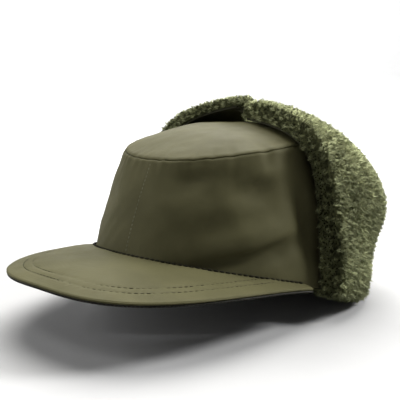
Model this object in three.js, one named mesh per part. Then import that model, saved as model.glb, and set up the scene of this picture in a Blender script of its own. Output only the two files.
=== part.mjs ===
// Hunting cap: a soft olive cloth cap with a long stitched peak. Its ear and neck flap is lined with thick
// curly pile and folded up round the crown, and its two ear ends meet above the crown's top.
// Millimetres, +Z up. The peak points along -Y and the wearer's left is +X. It stands on its folded flap.
import * as THREE from 'three';
import { mergeVertices } from 'three/addons/utils/BufferGeometryUtils.js';

const RIGHT_ANGLE = Math.PI / 2;
const LEFT = 1;
const RIGHT = -1;

// Free space between pieces that are sewn together
const GAP = 0.3;

// Crown: an oval wall that leans in from the rim to the top seam, closed by a low dome.
// Angles run from the centre front, 0, past the ear, 90 degrees, to the centre back.
const RIM = { halfWidth: 96.6, halfLength: 103.8, frontHeight: 44, napeDrop: 4, hem: 3 };
const TOP_SEAM = {
  halfWidth: 75.5,
  halfLength: 73.2,
  centreY: -1.5,
  height: 117,
  frontDrop: 6.7,
  sideRise: 1.6,
};
const CROWN = { wall: 2.5, bulge: 1.9, domeRise: 14.6, mitreIn: 0.84, mitreDown: 0.75 };

// Soft dents and swells of the side panels: where they are, how far they spread, and how far they stand out.
// slope says how they climb from front to back, as a share of the height for each degree. The last row of
// each side is where the panel is drawn in beside the flap.
const DENTS = [
  { side: LEFT, angle: 56, share: 0.35, slope: 0.0066, angleSpread: 20, shareSpread: 0.1, height: 3.4 },
  { side: LEFT, angle: 56, share: 0.16, slope: 0.0066, angleSpread: 20, shareSpread: 0.08, height: -4.8 },
  { side: LEFT, angle: 27, share: 0.8, angleSpread: 9, shareSpread: 0.13, height: -3.2 },
  { side: LEFT, angle: 60, share: 0.7, angleSpread: 12, shareSpread: 0.12, height: -3.2 },
  { side: LEFT, angle: 40, share: 0.56, slope: 0.004, angleSpread: 12, shareSpread: 0.12, height: 1.5 },
  { side: LEFT, angle: 88, share: 0.46, angleSpread: 8, shareSpread: 0.26, height: -7 },
  { side: RIGHT, angle: 62, share: 0.2, slope: 0.004, angleSpread: 18, shareSpread: 0.12, height: -3 },
  { side: RIGHT, angle: 30, share: 0.6, angleSpread: 12, shareSpread: 0.14, height: -1.8 },
  { side: RIGHT, angle: 88, share: 0.46, angleSpread: 8, shareSpread: 0.26, height: -6 },
];

// Peak: it falls away from the centre front as a shallow saddle, inside an outline fuller than an ellipse
const PEAK = {
  crossSag: 0.0014,
  lengthSag: 0.00127,
  halfWidth: 102.7,
  reach: 155.9,
  rootY: -19.3,
  fullness: 2.63,
  rootEndAngle: 79.25,
  coverThickness: 2,
  undersideThickness: 1.2,
  undersideSetBack: 0.01,
  edgeRound: 0.55,
};

// Flap: the cloth's own line at each base angle is one curve. It starts at the rim, is drawn towards a low
// and a high handle, each [out from the rim, back, height], and ends at a top point [x, y, height] of the
// free edge. tip says how much of the ear end a section belongs to, and rightUp how much higher the right
// half's high handle and top point are.
const FLAP_SECTIONS = [
  { angle: 88, low: [-19, 20, 109], high: [15, -21, 127], top: [3, 15, 134.5], tip: 1, rightUp: [3, 10] },
  { angle: 98, low: [-13, 16, 98], high: [22, -14, 123.5], top: [3, 27, 135.5], tip: 1, rightUp: [3, 10.5] },
  { angle: 108, low: [-4, 10, 82], high: [31, -6, 117], top: [8, 40, 135.5], tip: 0.9, rightUp: [1, 11] },
  { angle: 120, low: [6, 4, 58], high: [37, 0, 102], top: [21, 54, 131], tip: 0.4, rightUp: [-1, 11] },
  { angle: 135, low: [10, 0, 43], high: [43, 0, 89], top: [30, 70, 120.5], tip: 0, rightUp: [0, 11] },
  { angle: 150, low: [9, 0, 40], high: [40, 0, 85], top: [28, 84, 116.5], tip: 0, rightUp: [3, 9] },
  { angle: 165, low: [7, 0, 36], high: [35, 0, 82], top: [17, 93, 119], tip: 0, rightUp: [5, 6] },
  { angle: 180, low: [6, 0, 35], high: [32, 0, 79], top: [0, 97, 118.5], tip: 0, rightUp: [0, 0] },
];
const FLAP = {
  frontAngle: 88,
  shell: 1.6,
  rimGap: 0.9,
  tipShift: { [LEFT]: 9, [RIGHT]: 13.5 },
  rightSetBack: 62,
  backGap: 0.4,
};

// Pile: its depth at the ear, and at the nape, which is reached so many degrees behind the ear. It is a
// share thinner at the free edge, and within a radius of each edge it rounds off to a share of its depth.
const PILE = {
  earDepth: 18,
  napeDepth: 16,
  earSpan: 45,
  flapLength: 165,
  edgeThinning: 0.22,
  edgeRadius: 9,
  frontRadius: 4,
  edgeShare: 0.65,
};

// Where the pile is deeper or thinner than elsewhere: low along the fold, behind the ear and at the ear ends.
// A row with no side is for both halves.
const SWELLS = [
  { angle: 130, share: 0, angleSpread: 90, shareSpread: 0.13, height: 5 },
  { angle: 134, share: 0.45, angleSpread: 24, shareSpread: 0.14, height: 6 },
  { side: LEFT, angle: 90, share: 1, angleSpread: 18, shareSpread: 0.1, height: 4 },
  { side: LEFT, angle: 109, share: 0.74, angleSpread: 13, shareSpread: 0.2, height: -4 },
  { side: RIGHT, angle: 112, share: 1, angleSpread: 45, shareSpread: 0.3, height: -9 },
];

// Inside the crown the pile runs a little way up the wall: how far up each step is, and how deep the pile is
const INSIDE_ROWS = [
  { up: 20, depth: 3.5 },
  { up: 15, depth: 8 },
  { up: 5, depth: 9.5 },
];
const INSIDE_GAP = 0.6;

// The pile then turns under the rim. Each row is one step of that turn, from the inside outwards: the cloth
// side and the pile side, each so far out from the rim's outer wall. Heights are above the rim's lower edge
// for the cloth side, and above the lowest line of the fold for the pile side.
const FOLD_ROWS = [
  { clothOut: -3.2, clothUp: -0.5, pileOut: -11, pileUp: 8 },
  { clothOut: -2, clothUp: -0.7, pileOut: -4, pileUp: 0 },
  { clothOut: 1.5, clothUp: -0.7, pileOut: 13, pileUp: 0 },
  { clothOut: 3.2, clothUp: -0.6, pileOut: 22, pileUp: 5 },
];
// The fold's lowest line, and how it climbs towards the ear, over a length along the rim
const FOLD = { lowestZ: -7, earLift: 17, earLength: 38 };

// The hidden tab that fastens the two ear ends from below, and its lower face from the left end to the right
const TAB = { width: 12, thickness: 1.4, y: 28 };
const TAB_LINE = [
  { x: 24, z: 132 },
  { x: 13, z: 132 },
  { x: 4, z: 141.2 },
  { x: -1, z: 141.2 },
];

// How finely each piece is divided
const MESH = {
  sideColumns: 30,
  sideRows: 9,
  topColumns: 48,
  topRings: 6,
  peakColumns: 44,
};
const PEAK_SHARES = [0, 0.3, 0.6, 0.9, 0.98, 1];
const FLAP_MESH = {
  frontSteps: [0, 1.5, 4, 8],
  columns: 19,
  shares: [0.05, 0.14, 0.24, 0.34, 0.44, 0.53, 0.62, 0.71, 0.8, 0.89, 0.96, 1],
  shellEndShare: 0.985,
};

// The angle over which the flap's outward direction is measured, to either side
const NORMAL_STEP = 0.01;

const CLOTH = { color: 0x706b52, roughness: 0.7 };
const SHADED_CLOTH = { color: 0x434330, roughness: 0.75 };
const KNIT = { color: 0x6a6a66, roughness: 0.9 };
const CURLY_PILE = { color: 0x5b5d42, roughness: 1 };

function radians(degrees) {
  return THREE.MathUtils.degToRad(degrees);
}

// Evenly spaced values from first to last
function spread(first, last, count) {
  return Array.from({ length: count }, (_, step) => first + ((last - first) * step) / (count - 1));
}

// The value that pick reads from a table's rows, on a smooth curve through them, at an angle
function tableValue(table, pick, angle) {
  const found = table.findIndex((row) => radians(row.angle) >= angle - Number.EPSILON);
  const upper = THREE.MathUtils.clamp(found, 1, table.length - 1);
  const rowAt = (place) => table[THREE.MathUtils.clamp(place, 0, table.length - 1)];
  const [first, before, after, last] = [upper - 2, upper - 1, upper, upper + 1].map(rowAt);
  const step = after.angle - before.angle;
  const share = (angle - radians(before.angle)) / radians(step);
  const rise = (low, high) => (step * (pick(high) - pick(low))) / (high.angle - low.angle);
  const squared = share * share;
  const cubed = squared * share;
  return (
    pick(before) * (2 * cubed - 3 * squared + 1) +
    pick(after) * (3 * squared - 2 * cubed) +
    rise(first, after) * (cubed - 2 * squared + share) +
    rise(before, last) * (cubed - squared)
  );
}

// 0 at an edge, rising along a quarter circle to 1 at one radius from it
function quarterRound(distance, radius) {
  const away = 1 - THREE.MathUtils.clamp(distance / radius, 0, 1);
  return Math.sqrt(1 - away * away);
}

function signedVolume(points, triangles) {
  let volume = 0;
  for (let corner = 0; corner < triangles.length; corner += 3) {
    const [a, b, c] = triangles.slice(corner, corner + 3).map((vertex) => points[vertex]);
    volume += a.dot(b.clone().cross(c)) / 6;
  }
  return volume;
}

// A wall of cloth or pile between two grids of points. face(column, row) and back(column, row) give the same
// spot on its two sides. Strips close its edges, and with loop the columns run once round.
function wallGeometry({ columns, rows, face, back, loop = false }) {
  const grid = (side) => columns.flatMap((column) => rows.map((row) => side(column, row)));
  const points = [...grid(face), ...grid(back)];
  const at = (side, column, row) => (side * columns.length + (column % columns.length)) * rows.length + row;
  const triangles = [];
  const quad = (a, b, c, d) => triangles.push(a, b, c, a, c, d);
  const lastRow = rows.length - 1;
  const lastColumn = columns.length - 1;
  const spans = loop ? columns.length : lastColumn;
  for (let i = 0; i < spans; i += 1) {
    for (let j = 0; j < lastRow; j += 1) {
      quad(at(0, i, j), at(0, i + 1, j), at(0, i + 1, j + 1), at(0, i, j + 1));
      quad(at(1, i, j), at(1, i, j + 1), at(1, i + 1, j + 1), at(1, i + 1, j));
    }
    quad(at(0, i, 0), at(1, i, 0), at(1, i + 1, 0), at(0, i + 1, 0));
    quad(at(0, i, lastRow), at(0, i + 1, lastRow), at(1, i + 1, lastRow), at(1, i, lastRow));
  }
  for (let j = 0; j < lastRow && !loop; j += 1) {
    quad(at(0, 0, j), at(0, 0, j + 1), at(1, 0, j + 1), at(1, 0, j));
    quad(at(0, lastColumn, j), at(1, lastColumn, j), at(1, lastColumn, j + 1), at(0, lastColumn, j + 1));
  }
  if (signedVolume(points, triangles) < 0) {
    triangles.reverse();
  }
  return closedGeometry(points, triangles);
}

// Merges the points that fall together, such as those at the middle of a dome, and drops empty triangles
function closedGeometry(points, triangles) {
  const raw = new THREE.BufferGeometry().setFromPoints(points);
  raw.setIndex(triangles);
  const merged = mergeVertices(raw);
  const corners = Array.from(merged.index.array);
  const kept = [];
  for (let corner = 0; corner < corners.length; corner += 3) {
    const [a, b, c] = corners.slice(corner, corner + 3);
    if (a !== b && b !== c && c !== a) {
      kept.push(a, b, c);
    }
  }
  merged.setIndex(kept);
  merged.computeVertexNormals();
  return merged;
}

// Height of the peak's upper face, which is also the line where the front of the crown is sewn to it
function peakHeight(x, y) {
  const fromRoot = y + RIM.halfLength;
  return RIM.frontHeight - PEAK.crossSag * x * x - PEAK.lengthSag * fromRoot * fromRoot;
}

// Height of the rim. Past the ear it settles smoothly to the level of the nape.
function rimHeight(angle) {
  const x = RIM.halfWidth * Math.sin(angle);
  const y = -RIM.halfLength * Math.cos(angle);
  if (angle <= RIGHT_ANGLE) {
    return peakHeight(x, y);
  }
  const earHeight = peakHeight(RIM.halfWidth, 0);
  const earSlope = 2 * PEAK.lengthSag * RIM.halfLength * RIM.halfLength;
  return earHeight - RIM.napeDrop * (1 - Math.exp((-earSlope / RIM.napeDrop) * (angle - RIGHT_ANGLE)));
}

// A point so far out from the rim's outer wall, at a height of its own
function rimPoint(angle, out, z) {
  const x = (RIM.halfWidth + out) * Math.sin(angle);
  const y = -(RIM.halfLength + out) * Math.cos(angle);
  return new THREE.Vector3(x, y, z);
}

function topSeamPoint(angle, inset) {
  const x = (TOP_SEAM.halfWidth - CROWN.mitreIn * inset) * Math.sin(angle);
  const y = TOP_SEAM.centreY - (TOP_SEAM.halfLength - CROWN.mitreIn * inset) * Math.cos(angle);
  const waves = TOP_SEAM.frontDrop * Math.cos(angle) + TOP_SEAM.sideRise * Math.cos(2 * angle);
  return new THREE.Vector3(x, y, TOP_SEAM.height - waves - CROWN.mitreDown * inset);
}

// The sum of the smooth bumps of a table at an angle and a share of the height
function bumpSum(table, angle, share) {
  let sum = 0;
  for (const { slope = 0, ...bump } of table) {
    const fromMiddle = angle - radians(bump.angle);
    const across = fromMiddle / radians(bump.angleSpread);
    const up = (share - bump.share - (slope * fromMiddle) / radians(1)) / bump.shareSpread;
    sum += bump.height * Math.exp(-across * across - up * up);
  }
  return sum;
}

// The side wall between the rim, share 0, and the top seam, share 1, at an inset from its outer face
function crownWallPoint(side, angle, share, inset) {
  const foot = rimPoint(angle, -inset, rimHeight(angle) - RIM.hem);
  const point = foot.lerp(topSeamPoint(angle, inset), share);
  const dents = DENTS.filter((dent) => dent.side === side);
  const out = 4 * CROWN.bulge * share * (1 - share) + bumpSum(dents, angle, share);
  point.x += out * Math.sin(angle);
  point.y -= out * Math.cos(angle);
  point.x *= side;
  return point;
}

function crownSideGeometry(side) {
  const seamAngle = GAP / RIM.halfWidth;
  const seamShare = GAP / TOP_SEAM.height;
  return wallGeometry({
    columns: spread(seamAngle, Math.PI - seamAngle, MESH.sideColumns),
    rows: spread(0, 1 - seamShare, MESH.sideRows),
    face: (angle, share) => crownWallPoint(side, angle, share, 0),
    back: (angle, share) => crownWallPoint(side, angle, share, CROWN.wall),
  });
}

// The top panel from its middle, share 0, to the seam, share 1
function crownTopPoint(angle, share, inset) {
  const centreZ = TOP_SEAM.height - CROWN.mitreDown * inset;
  const point = new THREE.Vector3(0, TOP_SEAM.centreY, centreZ).lerp(topSeamPoint(angle, inset), share);
  point.z += CROWN.domeRise * (1 - share * share);
  return point;
}

function crownTopGeometry() {
  const turn = spread(0, 2 * Math.PI, MESH.topColumns + 1).slice(0, -1);
  return wallGeometry({
    columns: turn,
    rows: spread(0, 1 - GAP / TOP_SEAM.halfLength, MESH.topRings + 1),
    face: (angle, share) => crownTopPoint(angle, share, 0),
    back: (angle, share) => crownTopPoint(angle, share, CROWN.wall),
    loop: true,
  });
}

// A point of the peak in plan, from its root at the crown, share 0, to its free edge, share 1.
// The direction runs from -90 degrees at the right end to 90 at the left one.
function peakPlanPoint(direction, share) {
  const rootAngle = (direction / RIGHT_ANGLE) * radians(PEAK.rootEndAngle);
  const root = new THREE.Vector2(
    (RIM.halfWidth + GAP) * Math.sin(rootAngle),
    -(RIM.halfLength + GAP) * Math.cos(rootAngle),
  );
  const sine = Math.sin(direction);
  const cosine = Math.cos(direction);
  const size = (Math.abs(sine) ** PEAK.fullness + Math.abs(cosine) ** PEAK.fullness) ** (1 / PEAK.fullness);
  const edge = new THREE.Vector2((PEAK.halfWidth * sine) / size, PEAK.rootY - (PEAK.reach * cosine) / size);
  return root.lerp(edge, share);
}

// One layer of the peak. Its faces lie so far below the peak's upper face and draw together at the free edge
function peakLayerGeometry(top, bottom, setBack) {
  const edgeShare = 1 - setBack;
  const layerPoint = (depth) => (direction, share) => {
    const plan = peakPlanPoint(direction, share * edgeShare);
    const middle = (top + bottom) / 2;
    const narrowed = share === 1 ? middle + (depth - middle) * PEAK.edgeRound : depth;
    return new THREE.Vector3(plan.x, plan.y, peakHeight(plan.x, plan.y) - narrowed);
  };
  return wallGeometry({
    columns: spread(-RIGHT_ANGLE, RIGHT_ANGLE, MESH.peakColumns),
    rows: PEAK_SHARES,
    face: layerPoint(top),
    back: layerPoint(bottom),
  });
}

// The flap's cloth line at a base angle, from the rim to the free edge, for the left half.
// The right half lies a little further back and higher, and its ear end reaches past the middle.
function flapCurve(side, angle) {
  const valueOf = (name, part) => tableValue(FLAP_SECTIONS, (row) => row[name][part], angle);
  const triple = (name) => [valueOf(name, 0), valueOf(name, 1), valueOf(name, 2)];
  const tip = tableValue(FLAP_SECTIONS, (row) => row.tip, angle);
  const handle = ([out, back, z]) => rimPoint(angle, out, z).add(new THREE.Vector3(0, back, 0));
  const start = rimPoint(angle, FLAP.rimGap, rimHeight(angle) - RIM.hem);
  const low = handle(triple('low'));
  const high = handle(triple('high'));
  const end = new THREE.Vector3(...triple('top'));
  end.x += side * FLAP.tipShift[side] * tip;
  if (side === RIGHT) {
    high.y += FLAP.rightSetBack * tip;
    high.z += valueOf('rightUp', 0);
    end.z += valueOf('rightUp', 1);
  }
  return new THREE.CubicBezierCurve3(start, low, high, end);
}

// Outward direction of the flap's cloth, square to it
function flapNormal(side, angle, share) {
  const before = Math.max(angle - NORMAL_STEP, radians(FLAP.frontAngle));
  const after = Math.min(angle + NORMAL_STEP, Math.PI);
  const along = flapCurve(side, after).getPoint(share).sub(flapCurve(side, before).getPoint(share));
  const up = flapCurve(side, angle).getTangent(share);
  return along.cross(up).normalize();
}

// A point so far out from the cloth's inner face
function flapPoint(side, angle, share, out) {
  const point = flapCurve(side, angle).getPoint(share);
  point.addScaledVector(flapNormal(side, angle, share), out);
  point.x *= side;
  return keepHalvesApart(side, point);
}

// Moves a point of the left or right half off the middle plane by half the gap at the centre back
function keepHalvesApart(side, point) {
  const behindCrown = point.y > TOP_SEAM.halfLength;
  if (behindCrown && side * point.x < FLAP.backGap / 2) {
    point.x = (side * FLAP.backGap) / 2;
  }
  return point;
}

// Base angles from the front edge round to the centre back, closer together near the front edge
function flapColumns() {
  const front = FLAP_MESH.frontSteps.map((distance) => radians(FLAP.frontAngle) + distance / RIM.halfWidth);
  const rest = spread(front.at(-1), Math.PI, FLAP_MESH.columns).slice(1);
  return [...front, ...rest];
}

// The cloth starts one column behind the front edge, which the pile wraps
function flapShellGeometry(side) {
  return wallGeometry({
    columns: flapColumns().slice(1),
    rows: [0, ...FLAP_MESH.shares.slice(0, -1), FLAP_MESH.shellEndShare],
    face: (angle, share) => flapPoint(side, angle, share, FLAP.shell),
    back: (angle, share) => flapPoint(side, angle, share, 0),
  });
}

// Depth of the pile from the cloth outwards. It thins towards the free edge and rounds off at both edges.
function pileDepth(side, angle, share) {
  const towardsNape = Math.min((angle - RIGHT_ANGLE) / radians(PILE.earSpan), 1);
  const even = THREE.MathUtils.lerp(PILE.earDepth, PILE.napeDepth, towardsNape);
  const swells = SWELLS.filter((row) => row.side !== -side);
  const body = even + bumpSum(swells, angle, share);
  const edge = quarterRound((1 - share) * PILE.flapLength, PILE.edgeRadius);
  const front = quarterRound((angle - radians(FLAP.frontAngle)) * RIM.halfWidth, PILE.frontRadius);
  const rounding = THREE.MathUtils.lerp(PILE.edgeShare, 1, Math.min(edge, front));
  return body * rounding * (1 - PILE.edgeThinning * share * share);
}

// Rows of the pile run up inside the crown, through the fold under the rim, then up the flap
function pileRows() {
  const inside = INSIDE_ROWS.map((row) => ({ inside: row }));
  const fold = FOLD_ROWS.map((row) => ({ fold: row }));
  const flap = FLAP_MESH.shares.map((share) => ({ share }));
  return [...inside, ...fold, ...flap];
}

// A point on the inner face of the crown's wall, moved in by a distance
function insideCrownPoint(side, angle, up, distance) {
  const share = up / (TOP_SEAM.height - rimHeight(angle) + RIM.hem);
  const point = crownWallPoint(side, angle, share, CROWN.wall + INSIDE_GAP);
  point.x -= side * distance * Math.sin(angle);
  point.y += distance * Math.cos(angle);
  return keepHalvesApart(side, point);
}

// How far the fold's lowest line has climbed at a base angle
function foldLift(angle) {
  const distance = (angle - radians(FLAP.frontAngle)) * RIM.halfWidth;
  return FOLD.earLift * Math.max(0, 1 - distance / FOLD.earLength);
}

function foldPoint(side, angle, out, z) {
  const point = rimPoint(angle, out, z);
  point.x *= side;
  return keepHalvesApart(side, point);
}

function pileClothPoint(side, angle, row) {
  if (row.inside) {
    return insideCrownPoint(side, angle, row.inside.up, 0);
  }
  if (row.fold) {
    const z = rimHeight(angle) - RIM.hem + row.fold.clothUp;
    return foldPoint(side, angle, row.fold.clothOut, z);
  }
  return flapPoint(side, angle, row.share, FLAP.shell + GAP);
}

function pileFacePoint(side, angle, row) {
  if (row.inside) {
    return insideCrownPoint(side, angle, row.inside.up, row.inside.depth);
  }
  if (row.fold) {
    const z = FOLD.lowestZ + row.fold.pileUp + foldLift(angle);
    return foldPoint(side, angle, row.fold.pileOut, z);
  }
  return flapPoint(side, angle, row.share, FLAP.shell + GAP + pileDepth(side, angle, row.share));
}

function flapPileGeometry(side) {
  return wallGeometry({
    columns: flapColumns(),
    rows: pileRows(),
    face: (angle, row) => pileFacePoint(side, angle, row),
    back: (angle, row) => pileClothPoint(side, angle, row),
  });
}

// A point of the tab so far up from its lower face, square to its run
function tabPoint(step, y, up) {
  const line = TAB_LINE.map((row) => new THREE.Vector3(row.x, y, row.z));
  const before = line[Math.max(step - 1, 0)];
  const after = line[Math.min(step + 1, line.length - 1)];
  const along = after.clone().sub(before).normalize();
  const square = new THREE.Vector3(along.z, 0, -along.x);
  return line[step].addScaledVector(square, up);
}

function tieTabGeometry() {
  return wallGeometry({
    columns: [...TAB_LINE.keys()],
    rows: [TAB.y - TAB.width / 2, TAB.y + TAB.width / 2],
    face: (step, y) => tabPoint(step, y, TAB.thickness),
    back: (step, y) => tabPoint(step, y, 0),
  });
}

function piece(name, geometry, surface) {
  const material = new THREE.MeshStandardMaterial({ ...surface, metalness: 0 });
  const mesh = new THREE.Mesh(geometry, material);
  mesh.name = name;
  return mesh;
}

function crownGroup() {
  const crown = new THREE.Group();
  crown.add(piece('crown_side_left', crownSideGeometry(LEFT), CLOTH));
  crown.add(piece('crown_side_right', crownSideGeometry(RIGHT), CLOTH));
  crown.add(piece('crown_top', crownTopGeometry(), CLOTH));
  return crown;
}

function peakGroup() {
  const peak = new THREE.Group();
  const undersideTop = PEAK.coverThickness + GAP;
  const undersideBottom = undersideTop + PEAK.undersideThickness;
  peak.add(piece('peak_cover', peakLayerGeometry(0, PEAK.coverThickness, 0), CLOTH));
  const underside = peakLayerGeometry(undersideTop, undersideBottom, PEAK.undersideSetBack);
  peak.add(piece('peak_underside', underside, KNIT));
  return peak;
}

function flapGroup() {
  const flap = new THREE.Group();
  flap.add(piece('flap_shell_left', flapShellGeometry(LEFT), SHADED_CLOTH));
  flap.add(piece('flap_shell_right', flapShellGeometry(RIGHT), SHADED_CLOTH));
  flap.add(piece('flap_pile_left', flapPileGeometry(LEFT), CURLY_PILE));
  flap.add(piece('flap_pile_right', flapPileGeometry(RIGHT), CURLY_PILE));
  flap.add(piece('flap_tie_tab', tieTabGeometry(), SHADED_CLOTH));
  return flap;
}

// The origin is under the middle of the whole cap, on the ground
function centredOnGround(parts) {
  const cap = new THREE.Group();
  cap.add(...parts);
  const box = new THREE.Box3().setFromObject(cap, true);
  const middle = box.getCenter(new THREE.Vector3());
  cap.position.set(0, -middle.y, -box.min.z);
  return cap;
}

export default centredOnGround([crownGroup(), peakGroup(), flapGroup()]);
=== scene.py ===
"""Hunting cap of olive cloth, with a long stitched peak and a curly pile flap folded up round the crown."""

import math

import bmesh
import bpy
import numpy as np
from mathutils import Matrix, Vector
from mathutils.bvhtree import BVHTree
from mathutils.kdtree import KDTree


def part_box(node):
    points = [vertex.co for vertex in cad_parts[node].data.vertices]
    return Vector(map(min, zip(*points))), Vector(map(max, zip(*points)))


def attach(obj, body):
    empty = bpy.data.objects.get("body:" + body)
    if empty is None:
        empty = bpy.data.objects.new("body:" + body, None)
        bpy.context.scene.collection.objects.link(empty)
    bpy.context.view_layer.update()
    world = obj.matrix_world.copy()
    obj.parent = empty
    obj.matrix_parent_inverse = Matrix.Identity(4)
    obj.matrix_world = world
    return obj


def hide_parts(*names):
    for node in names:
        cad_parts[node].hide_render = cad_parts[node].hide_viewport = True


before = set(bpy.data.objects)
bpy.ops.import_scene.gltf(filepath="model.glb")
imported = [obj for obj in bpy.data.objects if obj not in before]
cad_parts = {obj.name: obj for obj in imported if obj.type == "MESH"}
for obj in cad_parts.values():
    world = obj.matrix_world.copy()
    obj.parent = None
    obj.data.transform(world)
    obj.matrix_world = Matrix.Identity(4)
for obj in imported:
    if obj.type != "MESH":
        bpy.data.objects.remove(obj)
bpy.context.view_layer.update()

# Shapes are worked out in millimetres in the crown's own frame: the peak points along -Y, +X is the
# wearer's left, and angles run from the centre front, 0, past the ear to the centre back, pi.
MM = 0.001
LEFT = 1
RIGHT = -1
SIDE_NAMES = {LEFT: "left", RIGHT: "right"}
RIGHT_ANGLE = math.pi / 2
UP = (0.0, 0.0, 1.0)

# Points closer than this fall together: in the made walls, and in the CAD nodes and the floor, in metres
WALL_MERGE = 1e-6
NODE_MERGE = 1e-5

# Edges of a CAD node sharper than this stay so in its fine copy
SHARP_ANGLE = math.radians(50)

# Crown
RIM_HALF_WIDTH = 96.6
RIM_HALF_LENGTH = 103.8
RIM_FRONT_HEIGHT = 44.0
RIM_NAPE_DROP = 4.0
RIM_HEM = 3.0
TOP_HALF_WIDTH = 75.5
TOP_HALF_LENGTH = 73.2
TOP_CENTRE_Y = -1.5
TOP_HEIGHT = 117.0
TOP_FRONT_DROP = 6.7
TOP_SIDE_RISE = 1.6
WALL = 2.5
WALL_BULGE = 1.9
DOME_RISE = 14.6
MITRE_IN = 0.84
MITRE_DOWN = 0.75
WALL_HEIGHT = 76.0
SEAM_GAP = 0.3

# Soft dents of the side panels: the angle and the share of the height where each one lies, how it climbs
# for each degree, how far it spreads and how far it stands out. The last row of each side is where the
# panel is drawn in beside the flap.
DENTS = {
    LEFT: (
        dict(angle=56, share=0.35, slope=0.0066, angle_spread=20, share_spread=0.1, height=3.4),
        dict(angle=56, share=0.16, slope=0.0066, angle_spread=20, share_spread=0.08, height=-4.8),
        dict(angle=27, share=0.8, slope=0, angle_spread=9, share_spread=0.13, height=-3.2),
        dict(angle=60, share=0.7, slope=0, angle_spread=12, share_spread=0.12, height=-3.2),
        dict(angle=40, share=0.56, slope=0.004, angle_spread=12, share_spread=0.12, height=1.5),
        dict(angle=88, share=0.46, slope=0, angle_spread=8, share_spread=0.26, height=-7),
    ),
    RIGHT: (
        dict(angle=62, share=0.20, slope=0.004, angle_spread=18, share_spread=0.12, height=-3),
        dict(angle=30, share=0.60, slope=0, angle_spread=12, share_spread=0.14, height=-1.8),
        dict(angle=88, share=0.46, slope=0, angle_spread=8, share_spread=0.26, height=-6),
    ),
}

# Folds that are finer than the dents: the line of each one as for a dent, the half width of its slope as a
# share of the height, and its height. It stands out by about 0.7 of that above its line, and lies as deep
# below it.
FOLDS = {
    LEFT: (
        dict(angle=58, share=0.25, slope=0.0066, angle_spread=20, width=0.06, height=2.1),
        dict(angle=62, share=0.76, slope=0.004, angle_spread=11, width=0.08, height=1.6),
        dict(angle=29, share=0.86, slope=0, angle_spread=8, width=0.07, height=1.4),
    ),
    RIGHT: (dict(angle=60, share=0.3, slope=0.004, angle_spread=16, width=0.08, height=1.0),),
}
FOLD_GAIN = 1.6

# Peak
PEAK_CROSS_SAG = 0.0014
PEAK_LENGTH_SAG = 0.00127
PEAK_HALF_WIDTH = 102.7
PEAK_REACH = 155.9
PEAK_ROOT_Y = -19.3
PEAK_FULLNESS = 2.63
PEAK_ROOT_END = 79.25
COVER_THICKNESS = 2.0
UNDERSIDE_THICKNESS = 1.2
UNDERSIDE_SET_BACK = 0.01

# The rounding of the peak's free edge: its radius, the share of the thickness that is left at the rim, how
# strongly the rows gather there, and how many points of the edge distances are measured to
PEAK_EDGE_RADIUS = 1.1
PEAK_EDGE_LEAST = 0.12
PEAK_ROWS_CLOSER = 1.8
EDGE_STEPS = 600

# Columns by rows of each cloth
SIDE_GRID = (188, 66)
TOP_GRID = (220, 50)
COVER_GRID = (300, 56)
UNDERSIDE_GRID = (180, 30)

# Smooth noise is a sum of this many waves. Their lengths vary between these shares of the stated one.
WAVES = 9
WAVE_VARIES = (0.7, 1.5)

# Soft waves of the cloth, the stitch rows, the seam, the pile's body and the border of its curls
SIDE_WAVES = (dict(height=0.55, length=46.0, seed=19), dict(height=0.12, length=15.0, seed=23))
TOP_WAVES = (dict(height=0.5, length=50.0, seed=37), dict(height=0.1, length=14.0, seed=41))
COVER_WAVES = (dict(height=0.18, length=30.0, seed=51),)
STITCH_WAVES = (dict(height=0.10, length=7.0, seed=53),)
UNDERSIDE_WAVES = (dict(height=0.1, length=12.0, seed=57),)
PUCKER_WAVES = (dict(height=0.46, length=9.0, seed=31),)
PILE_WAVES = (dict(height=0.7, length=5.0, seed=61),)
BORDER_WAVES = (dict(height=0.12, length=9.0, seed=95),)

# Seams: how the cloth dips, how far puckers reach, and how far from a seam the cloth's own waves begin
TOP_SEAM_VALLEY = dict(depth=1.1, width=1.2)
FRONT_SEAM_VALLEY = dict(depth=0.08, width=0.8)
FRONT_SEAM_GAP = 0.03
PUCKER_REACH = 8.0
SEAM_CALM = 7.0
TOP_CALM_SHARE = 0.25

# Stitch rows: the two of the peak, by their distance from its edge, the one beside the front seam, and the
# one where the crown meets the peak
STITCH_ROWS = (11.6, 18.0)
ROW_CLEARANCE = 1.0
ROW_DEPTH = 0.25
SEAM_ROW = 1.0
SEAM_ROW_ENDS = (0.06, 0.985)
SEAM_ROW_LIFT = 0.05
ROOT_ROW_OUT = 0.6
ROOT_ROW_LIFT = 0.1
PATH_STEPS = dict(peak_row=900, seam_row=200, root_row=500, underside=700)

# Relief of the peak: the channel of each row, how far its puckers reach, and where relief ends at the edge
STITCH_CHANNEL = dict(depth=0.32, width=1.0)
STITCH_PUCKER_REACH = 3.0
EDGE_CALM = 4.0

# Stitches, and the rings of one: how far along it each one lies, and its share of the radius
STITCH = dict(length=2.6, gap=1.2, radius=0.21)
SEAM_STITCH = dict(length=1.7, gap=1.3, radius=0.26)
ROOT_STITCH = dict(length=3.0, gap=1.1, radius=0.95)
EDGE_STITCH = dict(length=1.3, gap=1.2, radius=0.45)
THREAD_ALONG = (-0.5, -0.38, 0.0, 0.38, 0.5)
THREAD_ROUND = (0.15, 0.9, 1.0, 0.9, 0.15)
THREAD_SIDES = 6

# Curly pile: how far its body lies under the tips, over which distance from cloth and from the middle of the
# cap it gets there, how near cloth it counts as pressed on it, and the body's tone, which is dark as painted
# shade deep in the pile
PILE_INSET = 3.0
PILE_RAMP = 9.0
MIDDLE_RAMP = 8.0
TOUCHING = 1.6
BODY_PAINTED_SHADE = 0.06
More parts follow.
